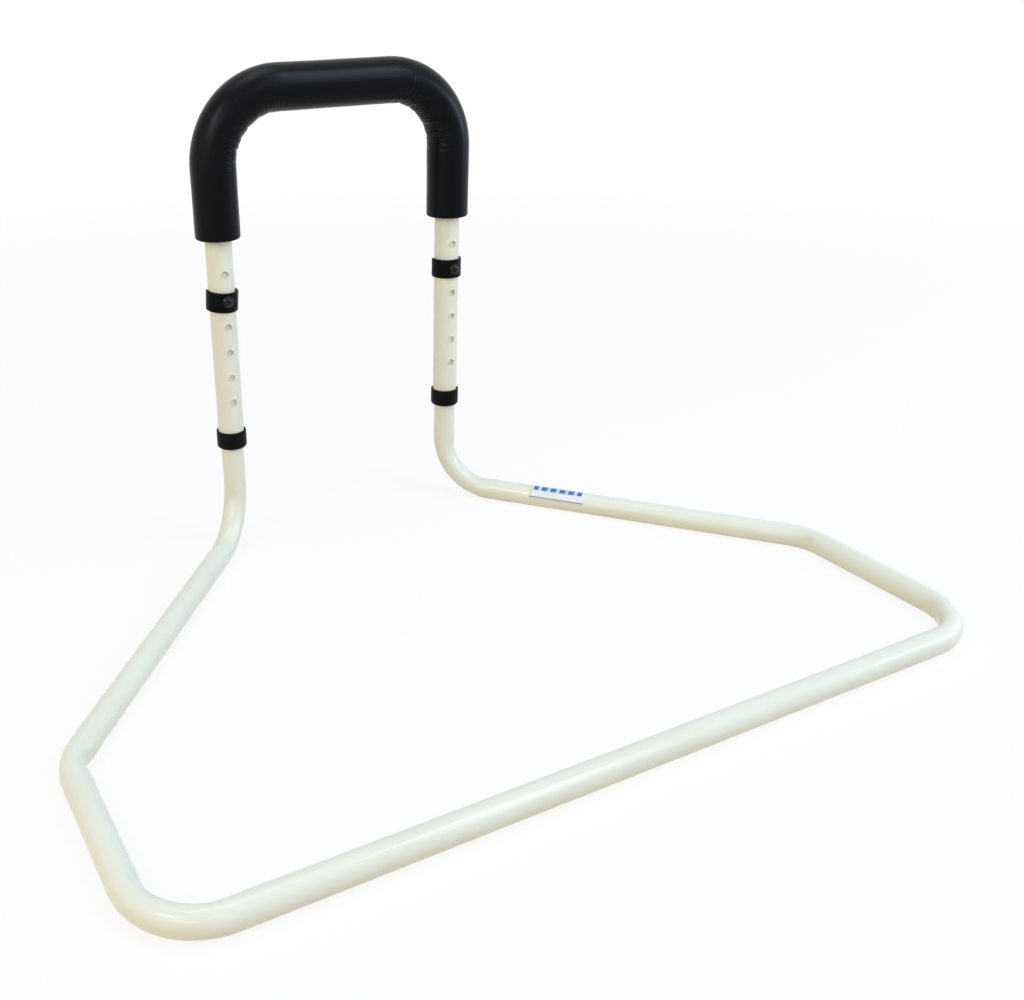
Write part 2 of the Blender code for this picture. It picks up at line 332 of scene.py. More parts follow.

# %% [markdown]
# ## From a mesh to a piece
#
# A finished mesh becomes a smooth object at the origin with its finish, and its creases are kept sharp.
# It is then set on the moving body that it rides on, and the solids whose place it takes are hidden.
# A tube gets its wall from a modifier, so its mesh stays a simple skin.

# %% Helpers for pieces
def make_object(name, bm, finish):
    """Makes the bmesh a smooth object at the origin."""
    mesh = bpy.data.meshes.new(name)
    bm.to_mesh(mesh)
    bm.free()
    mesh.materials.append(finish)
    mesh.shade_smooth()
    item = bpy.data.objects.new(name, mesh)
    bpy.context.scene.collection.objects.link(item)
    return item


def enter_piece(piece, body, nodes):
    """Rides the piece on its body and hides the solids that it stands for."""
    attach(piece, body)
    if nodes:
        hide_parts(*nodes)
    print(f"{piece.name}: {len(piece.data.polygons)} faces")


def finish_piece(name, bm, finish, body, nodes, sharp=40):
    bmesh.ops.recalc_face_normals(bm, faces=bm.faces)
    piece = make_object(name, bm, finish)
    piece.data.set_sharp_from_angle(angle=math.radians(sharp))
    enter_piece(piece, body, nodes)
    return piece


def add_wall(piece, thickness):
    wall = piece.modifiers.new("wall", "SOLIDIFY")
    wall.thickness = thickness
    wall.offset = -1
    wall.use_even_offset = True

# %% [markdown]
# ## The base tube
#
# The base is one length of tube with six bends: down the left upright, out along the arm, forward,
# across the front, and the same back up. The bending program below is that list. Each row has a
# straight run, the side that the bend after it turns to, its angle, its humps and its dent. Three
# degrees a step keeps the outline round.

# %% Bend the base tube
TUBE_SIDES = 48
BEND_STEP = math.radians(3)
RUN_STEP = 5 * MM
SIDE_HUMP = (9 * MM, 0.15)
FRONT_HUMP = (19 * MM, 1.35)
NEAR_HUMPS = ((4 * MM, 0.8), (4 * MM, 0.8))
ARM_HUMPS = ((5 * MM, 0.8), (5 * MM, 0.8))
ARM_DENT = 2.0

right_angle = math.pi / 2
arm_turn = math.atan2(SIDE_X - LEG_X, LEG_Y - SIDE_Y)
arm_reach = BASE_BEND * math.tan(arm_turn / 2)
upright_run = UPRIGHT_TOP - BASE_RADIUS - BASE_BEND
arm_run = math.hypot(SIDE_X - LEG_X, LEG_Y - SIDE_Y) - BASE_BEND - arm_reach
side_run = SIDE_BAR - arm_reach - BASE_BEND
front_run = 2 * SIDE_X - 2 * BASE_BEND

left_arm = Vector((LEG_X - SIDE_X, SIDE_Y - LEG_Y, 0)).normalized()
right_arm = Vector((-left_arm.x, left_arm.y, 0))
program = [
    (upright_run, left_arm, right_angle, NEAR_HUMPS, 1.0),
    (arm_run, left_arm.cross(DOWN), arm_turn, ARM_HUMPS, ARM_DENT),
    (side_run, RIGHT, right_angle, (SIDE_HUMP, FRONT_HUMP), 1.0),
    (front_run, -FORWARD, right_angle, (FRONT_HUMP, SIDE_HUMP), 1.0),
    (side_run, -RIGHT, arm_turn, ARM_HUMPS, ARM_DENT),
    (arm_run, UP, right_angle, NEAR_HUMPS, 1.0),
]


def push_run(tube, length):
    push(tube, length, max(1, round(length / RUN_STEP)))


base = load_tube(Vector((-LEG_X, LEG_Y, UPRIGHT_TOP)), DOWN, BASE_RADIUS, TUBE_SIDES)
for run, inner, angle, humps, dent in program:
    push_run(base, run)
    bend(base, inner, BASE_BEND, angle, round(angle / BEND_STEP), humps, dent)
push_run(base, upright_run)
print(f"base tube: {base['run']:.3f} m of tube in {len(base['rings'])} rings")
print("it ends at", [round(value, 4) for value in base["here"]])

# %% [markdown]
# A bent tube is never quite round. The die squeezes it a few per cent flatter in the plane of
# the bend and a little wider across it, most in the middle of the bend. The inner side has too
# much metal: it is drawn flat in the bend, and the spare metal gathers in a low hump in the straight
# run just before the bend and another just after it, a little further off where the tube was clamped.
# The clamp has also left a faint witness ring round the left upright, above its bend. The last loop
# keeps the flattened bends from dipping under the plane that the base lies on.

# %% Squeeze the bends
OVAL = 0.045
WIDENING = 0.4
INNER_DENT = 1.1 * MM
HUMP = 0.75 * MM
HUMP_LENGTH = 10 * MM
HUMP_END = 3 * HUMP_LENGTH
DENT_RISE = 18 * MM
WITNESS_HEIGHT = 75.7 * MM
WITNESS_DEPTH = 0.3 * MM


def squeeze(ring, inner, depth, hump, oval, dent):
    """Flattens one ring towards the inner side, by shares of the oval, the dent and the hump."""
    wide = ring["along"].cross(inner)
    for corner in ring["corners"]:
        spoke = corner.co - ring["centre"]
        inwards = spoke.dot(inner)
        facing = max(0.0, inwards / spoke.length)
        across = spoke.dot(wide)
        corner.co -= inner * inwards * oval * depth
        corner.co += wide * across * oval * WIDENING * depth
        corner.co += inner * facing ** 2 * (hump - dent * depth)


def squeeze_bends(tube, oval, dent, hump):
    for item in tube["bends"]:
        for ring in tube["rings"]:
            entered = ring["run"] - item["first"]
            left = item["last"] - ring["run"]
            near_start = entered < left
            place, height = item["humps"][0 if near_start else 1]
            off = min(entered, left) + place
            if off < -HUMP_END:
                continue
            inner = ring["inner"] or item["enters" if near_start else "leaves"]
            inside = max(0.0, min(entered, left, DENT_RISE)) / DENT_RISE
            depth = math.sin(right_angle * inside) ** 2
            rise = height * math.exp(-(off / HUMP_LENGTH) ** 2)
            squeeze(ring, inner, depth, hump * rise, oval, dent * item["dent"])


squeeze_bends(base, OVAL, INNER_DENT, HUMP)
for ring in base["rings"]:
    if ring["centre"].x < 0 and abs(ring["centre"].z - WITNESS_HEIGHT) < RUN_STEP / 2:
        for corner in ring["corners"]:
            corner.co -= (corner.co - ring["centre"]) * WITNESS_DEPTH / BASE_RADIUS
for corner in base["bm"].verts:
    corner.co.z = max(corner.co.z, 0.0)
base_tube = finish_piece("base_tube", base["bm"], paint, "base", ["base_frame"])
add_wall(base_tube, BASE_WALL)

# %% [markdown]
# ## The handle tube
#
# The handle is a U of wider tube. Its legs are drilled with six holes each, so their rings are set
# closer together round each hole: eight rows across a hole's neighbourhood and two between.

# %% Bend the handle tube
LEG_SIDES = 64
LEG_END_ROWS = 6
HOLE_ROWS = 8
BETWEEN_ROWS = 2
LEG_TOP_ROWS = 8
HANDLE_BEND_STEPS = 24
HANDLE_TOP_ROWS = 6
HOLE_PATCH = 10.0 * MM
holes = [TOP_HOLE - number * HOLE_PITCH for number in range(HOLE_COUNT)]

leg_runs = [(min(holes) - HOLE_PATCH / 2 - LEG_END, LEG_END_ROWS)]
for number in range(HOLE_COUNT):
    leg_runs.append((HOLE_PATCH, HOLE_ROWS))
    leg_runs.append((HOLE_PITCH - HOLE_PATCH, BETWEEN_ROWS))
leg_runs[-1] = (HANDLE_TOP - HANDLE_BEND - TOP_HOLE - HOLE_PATCH / 2, LEG_TOP_ROWS)

handle = load_tube(Vector((-LEG_X, LEG_Y, LEG_END)), UP, LEG_RADIUS, LEG_SIDES)
for length, steps in leg_runs:
    push(handle, length, steps)
bend(handle, RIGHT, HANDLE_BEND, right_angle, HANDLE_BEND_STEPS)
push(handle, 2 * (LEG_X - HANDLE_BEND), HANDLE_TOP_ROWS)
bend(handle, DOWN, HANDLE_BEND, right_angle, HANDLE_BEND_STEPS)
for length, steps in reversed(leg_runs):
    push(handle, length, steps)
print(f"handle tube: {handle['run']:.3f} m of tube, ends at", [round(v, 4) for v in handle["here"]])

# %% [markdown]
# ## Drilled holes
#
# A Boolean would cut the holes, but it leaves long thin faces that catch the light on a round
# tube. Instead a square patch of faces is taken out, and a ring of edges on the tube's surface
# is bridged to the gap. That ring is then stepped inwards over the thick bead of paint that gathers
# round a drilled edge. Each step is a share of the bead's width and one of its height.

# %% Drill the legs
HOLE_RADIUS = 3.05 * MM
BEAD_WIDTH = 0.85 * MM
BEAD_HEIGHT = 0.32 * MM
BEAD_STEPS = ((0.75, 0.6), (0.5, 1.0), (0.2, 1.0), (0.05, 0.6), (0.0, 0.0))
HANDLE_OVAL = 0.03
HANDLE_DENT = 0.2 * MM
HANDLE_HUMP = 0.1 * MM


def lay_on_leg(corners, leg_x, lift):
    """Moves corners to the front of a leg's surface, raised by the lift."""
    for corner in corners:
        offset = corner.co.x - leg_x
        corner.co.y = LEG_Y - math.sqrt((LEG_RADIUS + lift) ** 2 - offset ** 2)


def drill(bm, leg_x, height):
    middle = Vector((leg_x, LEG_Y - LEG_RADIUS, height))
    half = HOLE_PATCH / 2
    patch = []
    for face in bm.faces:
        offset = face.calc_center_median() - middle
        if abs(offset.x) < half and abs(offset.z) < half and abs(offset.y) < LEG_RADIUS / 2:
            patch.append(face)
    inside = set(patch)
    border = [edge for face in patch for edge in face.edges
              if sum(other in inside for other in edge.link_faces) == 1]
    bmesh.ops.delete(bm, geom=patch, context="FACES")
    standing = Matrix.Translation(middle) @ Matrix.Rotation(right_angle, 4, "X")
    outer = HOLE_RADIUS + BEAD_WIDTH
    circle = bmesh.ops.create_circle(bm, segments=len(border), radius=outer, matrix=standing)["verts"]
    lay_on_leg(circle, leg_x, 0)
    ring = list(dict.fromkeys(edge for corner in circle for edge in corner.link_edges))
    bmesh.ops.bridge_loops(bm, edges=border + ring)
    reach = outer
    for share, lift in BEAD_STEPS:
        corners, ring = grow_ring(bm, ring)
        radius = HOLE_RADIUS + BEAD_WIDTH * share
        shrink = radius / reach
        bmesh.ops.scale(bm, verts=corners, vec=(shrink, 1, shrink), space=Matrix.Translation(-middle))
        lay_on_leg(corners, leg_x, BEAD_HEIGHT * lift)
        reach = radius
    return len(patch)


for leg_x in (-LEG_X, LEG_X):
    for height in holes:
        taken = drill(handle["bm"], leg_x, height)
print(f"{2 * HOLE_COUNT} holes, {taken} faces taken out for each")
squeeze_bends(handle, HANDLE_OVAL, HANDLE_DENT, HANDLE_HUMP)
handle_bar = finish_piece("handle_bar", handle["bm"], paint, "handle", ["handle_tube"])
add_wall(handle_bar, LEG_WALL)

# %% [markdown]
# ## The foam grip
#
# The sleeve was pushed on while the handle was straight or slid round its bends, so the foam is
# stretched along the outer side of each bend and squashed on the inner side. There it gathers into
# fine wrinkles, and a few of them fold into deep creases with soft lumps between. The grip is grown
# like the tubes, with close rings in the bends, and each corner is then pressed in by the creases
# near it.

# %% Grow the grip
GRIP_SIDES = 96
GRIP_RIM = 2.0 * MM
GRIP_BORE = LEG_RADIUS + 0.3 * MM
GRIP_LEG_STEPS = 30
GRIP_BEND_STEPS = 180
GRIP_TOP_STEPS = 40
BORE_BEND_STEPS = 24


def grow_grip(radius, bend_steps, end_gap):
    tube = load_tube(Vector((-LEG_X, LEG_Y, LEFT_GRIP_END + end_gap)), UP, radius, GRIP_SIDES)
    bend_start = HANDLE_TOP - HANDLE_BEND - end_gap
    push(tube, bend_start - LEFT_GRIP_END, GRIP_LEG_STEPS)
    bend(tube, RIGHT, HANDLE_BEND, right_angle, bend_steps)
    push(tube, 2 * (LEG_X - HANDLE_BEND), GRIP_TOP_STEPS)
    bend(tube, DOWN, HANDLE_BEND, right_angle, bend_steps)
    push(tube, bend_start - RIGHT_GRIP_END, GRIP_LEG_STEPS)
    return tube


grip = grow_grip(GRIP_RADIUS, GRIP_BEND_STEPS, GRIP_RIM)
print(f"grip: {grip['run'] / MM:.0f} mm of foam in {len(grip['rings'])} rings")

# %% [markdown]
# Each crease is a dip with a place along the bend, a width, a depth, a slant and a reach round the
# sleeve from the innermost line. The fine ones are many and shallow. The coarse ones are few and
# fold the inner side into lumps, where the squashed foam swells a little. The whole skin is then
# made slightly uneven by a slow noise.

# %% Wrinkle the bends
COARSE_CREASES = 5
CREASE_END = 3
FINE_START = -4
FINE_SPAN = 98
COARSE_START = 8
COARSE_SPAN = 74
GRIP_DENT = 0.7 * MM
SWELL = 0.5 * MM
LUMP_HEIGHT = 0.22 * MM
LUMPS_PER_METRE = 28
pick = random.Random(11)


def plan_creases(coarse_depth, fine_creases, fine_depth):
    """Creases of one bend, with their starts, spans, places and widths in degrees along it."""
    creases = []
    for number in range(fine_creases):
        creases.append({
            "place": FINE_START + FINE_SPAN * (number + pick.uniform(0.2, 0.8)) / fine_creases,
            "width": pick.uniform(0.5, 0.85), "depth": fine_depth * pick.uniform(0.35, 1.0),
            "slant": pick.uniform(-3.5, 3.5), "reach": math.radians(pick.uniform(55, 125))})
    for number in range(COARSE_CREASES):
        creases.append({
            "place": COARSE_START + COARSE_SPAN * (number + pick.uniform(0.3, 0.7)) / COARSE_CREASES,
            "width": pick.uniform(1.6, 2.6), "depth": coarse_depth * pick.uniform(0.7, 1.2),
            "slant": pick.uniform(-3, 3), "reach": math.radians(pick.uniform(48, 70))})
    return creases


def crease_depth(creases, place, around):
    depth = 0.0
    for crease in creases:
        if around > crease["reach"]:
            continue
        off = (place - crease["place"] - crease["slant"] * around) / crease["width"]
        if abs(off) < CREASE_END:
            fade = math.cos(right_angle * around / crease["reach"])
            depth += crease["depth"] * fade * math.exp(-abs(off) ** 1.4)
    return depth


def wrinkle(tube, number, creases):
    """Presses the creases into the bend of that number."""
    for ring in tube["rings"]:
        if ring["bend"] != number:
            continue
        place = 90 * ring["share"]
        gather = math.sin(math.pi * ring["share"]) ** 0.5
        wide = ring["along"].cross(ring["inner"])
        for corner in ring["corners"]:
            spoke = (corner.co - ring["centre"]).normalized()
            around = math.atan2(abs(spoke.dot(wide)), spoke.dot(ring["inner"]))
            side = math.copysign(around, spoke.dot(wide))
            depth = crease_depth(creases, place + side, around)
            swell = SWELL * gather * max(0.0, math.cos(around)) ** 3
            corner.co += spoke * (swell - depth)


squeeze_bends(grip, oval=0.0, dent=GRIP_DENT, hump=0.0)
wrinkle(grip, 0, plan_creases(coarse_depth=0.75 * MM, fine_creases=34, fine_depth=0.5 * MM))
wrinkle(grip, 1, plan_creases(coarse_depth=1.0 * MM, fine_creases=42, fine_depth=0.85 * MM))
for ring in grip["rings"]:
    for corner in ring["corners"]:
        spoke = (corner.co - ring["centre"]).normalized()
        corner.co += spoke * LUMP_HEIGHT * noise.noise(corner.co * LUMPS_PER_METRE)
print("creases pressed into", len(grip["bends"]), "bends")

# %% [markdown]
# The sleeve's ends are cut square with a soft rim. Each end ring is stepped round a quarter circle
# and in to the bore, and the bore is a second, plainer tube of the same path welded to both ends.

# %% Close the grip's ends
RIM_STEPS = 5
WELD = 0.02 * MM


def round_end(bm, edges, centre):
    """Steps an end ring down over a rounded rim and in to the bore."""
    turns = [right_angle * step / RIM_STEPS for step in range(1, RIM_STEPS + 1)]
    stops = [(GRIP_RADIUS - GRIP_RIM * (1 - math.cos(turn)), GRIP_RIM * math.sin(turn)) for turn in turns]
    reach = GRIP_RADIUS
    sunk = 0.0
    for target, depth in stops + [(GRIP_RADIUS - 2 * GRIP_RIM, GRIP_RIM), (GRIP_BORE, GRIP_RIM)]:
        corners, edges = grow_ring(bm, edges)
        shrink = target / reach
        bmesh.ops.scale(bm, verts=corners, vec=(shrink, shrink, 1), space=Matrix.Translation(-centre))
        bmesh.ops.translate(bm, verts=corners, vec=DOWN * (depth - sunk))
        reach = target
        sunk = depth


bm = grip["bm"]
first = [edge for edge in bm.edges if edge.is_boundary and edge.verts[0].co.x < 0]
last = [edge for edge in bm.edges if edge.is_boundary and edge.verts[0].co.x > 0]
round_end(bm, first, grip["rings"][0]["centre"])
round_end(bm, last, grip["here"])
bore = grow_grip(GRIP_BORE, BORE_BEND_STEPS, 0)
bore_mesh = bpy.data.meshes.new("bore")
bore["bm"].to_mesh(bore_mesh)
bore["bm"].free()
bm.from_mesh(bore_mesh)
bpy.data.meshes.remove(bore_mesh)
bmesh.ops.remove_doubles(bm, verts=[corner for corner in bm.verts if corner.is_boundary], dist=WELD)
print("open edges left in the grip:", sum(edge.is_boundary for edge in bm.edges))
foam_grip = finish_piece("foam_grip", bm, foam, "handle", ["grip_sleeve"], sharp=60)

# %% [markdown]
# ## The bushes
#
# A black bush is pressed on each leg's lower end. It stops the leg's cut edge from scratching the
# upright and takes up the play between the tubes. It is a turned shape, so a profile is spun once
# round the leg. Its top edge is thin and its lower edge well rounded.

# %% Helpers for turned shapes
SEAM = 0.001 * MM


def arc(centre_radius, centre_height, radius, start, end, steps):
    """Points on a quarter or other arc of a profile, with angles in degrees."""
    points = []
    for step in range(steps + 1):
        angle = math.radians(start + (end - start) * step / steps)
        points.append((centre_radius + radius * math.cos(angle), centre_height + radius * math.sin(angle)))
    return points


def turn_profile(profile, closed, steps):
    """Spins (radius, height) points round the Z axis into a closed skin."""
    bm = bmesh.new()
    corners = [bm.verts.new((radius, 0, height)) for radius, height in profile]
    pairs = list(zip(corners, corners[1:]))
    if closed:
        pairs.append((corners[-1], corners[0]))
    edges = [bm.edges.new(pair) for pair in pairs]
    bmesh.ops.spin(bm, geom=corners + edges, axis=(0, 0, 1), cent=(0, 0, 0), angle=2 * math.pi,
                   steps=steps, use_merge=True)
    bmesh.ops.remove_doubles(bm, verts=bm.verts, dist=SEAM)
    return bm

# %% Turn the bushes
BUSH_RADIUS = 14.75 * MM
BUSH_TOP_EDGE = 0.5 * MM
BUSH_LOWER_EDGE = 2.4 * MM
BUSH_MOUTH = 0.3 * MM
BUSH_BORE = BASE_RADIUS + 0.35 * MM
BUSH_SEAT = LEG_RADIUS + 0.05 * MM
BUSH_LIP_TOP = LEG_END - 0.1 * MM
BUSH_STEPS = 72
bush_low, bush_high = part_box("left_collar")


def bush(side, name):
    profile = [
        (BUSH_SEAT, bush_high.z),
        *arc(BUSH_RADIUS - BUSH_TOP_EDGE, bush_high.z - BUSH_TOP_EDGE, BUSH_TOP_EDGE, 90, 0, 4),
        *arc(BUSH_RADIUS - BUSH_LOWER_EDGE, bush_low.z + BUSH_LOWER_EDGE, BUSH_LOWER_EDGE, 0, -90, 8),
        (BUSH_BORE + BUSH_MOUTH, bush_low.z),
        (BUSH_BORE, bush_low.z + BUSH_MOUTH),
        (BUSH_BORE, BUSH_LIP_TOP),
        (BUSH_SEAT, BUSH_LIP_TOP),
    ]
    bm = turn_profile(profile, closed=True, steps=BUSH_STEPS)
    bmesh.ops.translate(bm, verts=bm.verts, vec=(side * LEG_X, LEG_Y, 0))
    finish_piece(name + "_bush", bm, bush_plastic, "handle", [name + "_collar"])


bush(-1, "left")
bush(1, "right")

# %% [markdown]
# ## The spring clips
#
# A clip is a C-shaped band of springy plastic that snaps round the leg, with a pin on its inner side
# that goes through both tubes and a domed button outside. The band's section is a small rectangle
# spun part of the way round the leg, with every edge bevelled. Its arms stand a little off the tube
# at the sides, as a band does that has been sprung open many times. Bands are pushed on by hand, so
# the left one sits a little low and askew.

# %% Make the clips
CLIP_ARC = math.radians(225)
CLIP_WALL = 2.3 * MM
CLIP_EDGE = 0.7 * MM
CLIP_STEPS = 60
EDGE_ANGLE = math.radians(50)
ARM_GAP = 0.5 * MM
BUTTON_RADIUS = 6.0 * MM
BUTTON_RIM = 1.8 * MM
BUTTON_EDGE = 0.5 * MM
BUTTON_BACK = 0.6 * MM
BUTTON_STEPS = 48
DOME_RADIUS = 5.0 * MM
DOME_HEIGHT = 2.5 * MM
PIN_RADIUS = 2.9 * MM
PIN_ROOT = 0.9 * MM
PIN_BEVEL = 0.6 * MM
PIN_REACH = 3.5 * MM
clip_inner = LEG_RADIUS + 0.15 * MM
clip_low, clip_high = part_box("left_clip")
CLIP_HEIGHT = clip_high.z - clip_low.z


def clip_band(side, name, drop, roll, nod):
    bm = bmesh.new()
    bmesh.ops.create_grid(bm, x_segments=1, y_segments=3, size=0.5)
    bmesh.ops.scale(bm, verts=bm.verts, vec=(CLIP_WALL, CLIP_HEIGHT, 1))
    bmesh.ops.rotate(bm, verts=bm.verts, matrix=Matrix.Rotation(right_angle, 3, "X"))
    bmesh.ops.translate(bm, verts=bm.verts, vec=(clip_inner + CLIP_WALL / 2, 0, 0))
    start = Matrix.Rotation(-right_angle - CLIP_ARC / 2, 3, "Z")
    bmesh.ops.rotate(bm, verts=bm.verts, matrix=start)
    bmesh.ops.spin(bm, geom=bm.verts[:] + bm.edges[:] + bm.faces[:], axis=UP, cent=(0, 0, 0),
                   angle=CLIP_ARC, steps=CLIP_STEPS, use_merge=False)
    bmesh.ops.recalc_face_normals(bm, faces=bm.faces)
    rims = [edge for edge in bm.edges if edge.is_manifold and edge.calc_face_angle() > EDGE_ANGLE]
    bmesh.ops.bevel(bm, geom=rims, affect="EDGES", offset=CLIP_EDGE, segments=3, profile=0.5,
                    material=-1)
    for corner in bm.verts:
        spoke = Vector((corner.co.x, corner.co.y, 0)).normalized()
        corner.co += spoke * ARM_GAP * (1 + spoke.y) ** 1.5 / 2
    lean = Matrix.Rotation(math.radians(roll), 3, "Y") @ Matrix.Rotation(math.radians(nod), 3, "X")
    bmesh.ops.rotate(bm, verts=bm.verts, matrix=lean)
    bmesh.ops.translate(bm, verts=bm.verts, vec=(side * LEG_X, LEG_Y, PIN_Z - drop))
    body = name + "_clip"
    finish_piece(name + "_clip_band", bm, clip_plastic, body, [body])


def clip_button(side, name):
    """A button with its pin: a profile from the dome's top round the rim and down to the pin's tip."""
    face = clip_inner + CLIP_WALL
    rim = face + BUTTON_RIM
    tip = BASE_RADIUS - BASE_WALL - PIN_REACH
    ball = (DOME_RADIUS ** 2 + DOME_HEIGHT ** 2) / (2 * DOME_HEIGHT)
    lean = math.degrees(math.asin(DOME_RADIUS / ball))
    profile = [
        (0, rim + DOME_HEIGHT),
        *arc(0, rim + DOME_HEIGHT - ball, ball, 84, 90 - lean, 8),
        *arc(BUTTON_RADIUS - BUTTON_EDGE, rim - BUTTON_EDGE, BUTTON_EDGE, 90, 0, 4),
        (BUTTON_RADIUS, face - BUTTON_BACK),
        (PIN_RADIUS, face - PIN_ROOT),
        (PIN_RADIUS, tip + PIN_BEVEL),
        (PIN_RADIUS - PIN_BEVEL, tip),
        (0, tip),
    ]
    bm = turn_profile(profile, closed=False, steps=BUTTON_STEPS)
    bmesh.ops.rotate(bm, verts=bm.verts, matrix=Matrix.Rotation(right_angle, 3, "X"))
    bmesh.ops.translate(bm, verts=bm.verts, vec=(side * LEG_X, LEG_Y, PIN_Z))
    finish_piece(name + "_clip_button", bm, button_plastic, name + "_clip", [])


clip_band(-1, "left", drop=1.0 * MM, roll=3.5, nod=3.0)
clip_band(1, "right", drop=0.3 * MM, roll=0.0, nod=0.0)
clip_button(-1, "left")
clip_button(1, "right")

# %% [markdown]
# ## The label
#
# A film is stuck round the right arm. It has a pale finish, a grey line along its edge and a row of
# plain blue blocks on a light blue strip. A straight line of edges is spun part of the way round the
# arm, so that the film follows the tube, and its UV map runs along and around it in metres.

# %% Make the label
LABEL_START = 103 * MM
LABEL_LENGTH = 59 * MM
LABEL_TOP_SIDE = math.radians(-67.5)
LABEL_ARC = math.radians(150)
LABEL_COLUMNS = 24
LABEL_ROWS = 30
LABEL_LIFT = 0.05 * MM
FILM = 0.12 * MM
BLOCK_PITCH = LABEL_LENGTH / 6
BLOCK_SHARE = (0.18, 0.82)
BLOCK_ROWS = (11.0 * MM, 18.5 * MM)
STRIP_ROWS = (9.5 * MM, 20.0 * MM)
STRIP_ENDS = (3 * MM, 56 * MM)
LINE_ROWS = (26.2 * MM, 27.6 * MM)


def label_film():
    mat, shader = new_finish("label_film")
    place = add_node(mat, "ShaderNodeUVMap", uv_map="film").outputs["UV"]
    parts = add_node(mat, "ShaderNodeSeparateXYZ", {"Vector": place}).outputs
    where = place_in_metres(mat)
    cloud = add_node(mat, "ShaderNodeTexNoise", {"Vector": where, "Scale": 90.0, "Detail": 2.0})

    def both(one, other):
        return calculate(mat, "MULTIPLY", one, other)

    def between(value, limits):
        above = calculate(mat, "GREATER_THAN", value, limits[0])
        under = calculate(mat, "LESS_THAN", value, limits[1])
        return both(above, under)

    block = calculate(mat, "FRACT", both(parts["X"], 1 / BLOCK_PITCH))
    strip = both(between(parts["Y"], STRIP_ROWS), between(parts["X"], STRIP_ENDS))
    blocks = both(between(block, BLOCK_SHARE), both(between(parts["Y"], BLOCK_ROWS), strip))
    body = mix_colour(mat, cloud.outputs["Fac"], (0.76, 0.78, 0.80, 1), (0.83, 0.85, 0.86, 1))
    lined = mix_colour(mat, between(parts["Y"], LINE_ROWS), body, (0.30, 0.32, 0.36, 1))
    ground = mix_colour(mat, strip, lined, (0.56, 0.68, 0.80, 1))
    printed = mix_colour(mat, blocks, ground, (0.05, 0.14, 0.36, 1))
    mat.node_tree.links.new(printed, shader.inputs["Base Color"])
    shader.inputs["Roughness"].default_value = 0.35
    return mat


arm_start = Vector((LEG_X, LEG_Y, BASE_RADIUS))
inwards = right_arm.cross(UP)
spoke = UP * math.cos(LABEL_TOP_SIDE) + inwards * math.sin(LABEL_TOP_SIDE)
bm = bmesh.new()
corners = [bm.verts.new(arm_start + right_arm * (LABEL_START + LABEL_LENGTH * step / LABEL_COLUMNS)
                        + spoke * (BASE_RADIUS + LABEL_LIFT)) for step in range(LABEL_COLUMNS + 1)]
edges = [bm.edges.new(pair) for pair in zip(corners, corners[1:])]
bmesh.ops.spin(bm, geom=corners + edges, axis=UP.cross(inwards), cent=arm_start, angle=LABEL_ARC,
               steps=LABEL_ROWS, use_merge=False)
bmesh.ops.recalc_face_normals(bm, faces=bm.faces)
bm.faces.ensure_lookup_table()
if bm.faces[0].normal.dot(spoke) < 0:
    bmesh.ops.reverse_faces(bm, faces=bm.faces)
film = bm.loops.layers.uv.new("film")
for face in bm.faces:
    for loop in face.loops:
        offset = loop.vert.co - arm_start
        turn = math.atan2(offset.dot(inwards), offset.dot(UP)) - LABEL_TOP_SIDE
        loop[film].uv = (offset.dot(right_arm) - LABEL_START, turn * BASE_RADIUS)
arm_label = make_object("arm_label", bm, label_film())
enter_piece(arm_label, "base", ["label"])
wall = arm_label.modifiers.new("film", "SOLIDIFY")
wall.thickness = FILM
wall.offset = 1

# %% [markdown]
# ## Floor and backdrop
#
# The picture has a plain white ground. To the camera and to reflections the floor is mostly white of
# its own, with the object's soft shadow on it. For all other light it is a pale warm floor, which
# gives the tubes' undersides their tan tone. The backdrop is white in the same way, and a dim pale
# blue sky for all other light.

# %% Floor and backdrop
FLOOR_SIZE = 12
FLOOR_NEAR = 0.8
FLOOR_FAR = 2.2
NEAR_WHITE = 0.87


def seen_or_mirrored(owner):
    """One for rays from the camera, from a mirroring skin or through glass, and nought for others."""
    path = add_node(owner, "ShaderNodeLightPath").outputs
    seen = calculate(owner, "MAXIMUM", path["Is Camera Ray"], path["Is Glossy Ray"])
    return calculate(owner, "MAXIMUM", seen, path["Is Transmission Ray"])


def show(owner, output, hidden, shown):
    both = add_node(owner, "ShaderNodeMixShader", {0: seen_or_mirrored(owner), 1: hidden, 2: shown})
    owner.node_tree.links.new(both.outputs[0], owner.node_tree.nodes[output].inputs["Surface"])


def floor_finish():
    mat, shader = new_finish("pale_floor")
    where = place_in_metres(mat)
    cloud = add_node(mat, "ShaderNodeTexNoise", {"Vector": where, "Scale": 3.0, "Detail": 2.0})
    tone = mix_colour(mat, cloud.outputs["Fac"], (0.72, 0.60, 0.43, 1), (0.76, 0.64, 0.47, 1))
    mat.node_tree.links.new(tone, shader.inputs["Base Color"])
    shader.inputs["Roughness"].default_value = 0.8
    paper = add_node(mat, "ShaderNodeBsdfDiffuse", {"Color": (0.9, 0.9, 0.9, 1)})
    glow = add_node(mat, "ShaderNodeEmission", {"Color": (1, 1, 1, 1), "Strength": 1.0})
    away = add_node(mat, "ShaderNodeVectorMath", {0: where}, operation="LENGTH").outputs["Value"]
    white = spread(mat, away, FLOOR_NEAR, FLOOR_FAR, NEAR_WHITE, 1.0)
    shown = add_node(mat, "ShaderNodeMixShader", {0: white, 1: paper.outputs[0], 2: glow.outputs[0]})
    show(mat, "Material Output", shader.outputs[0], shown.outputs[0])
    return mat


bm = bmesh.new()
bmesh.ops.create_grid(bm, x_segments=1, y_segments=1, size=FLOOR_SIZE / 2)
floor = make_object("floor", bm, floor_finish())

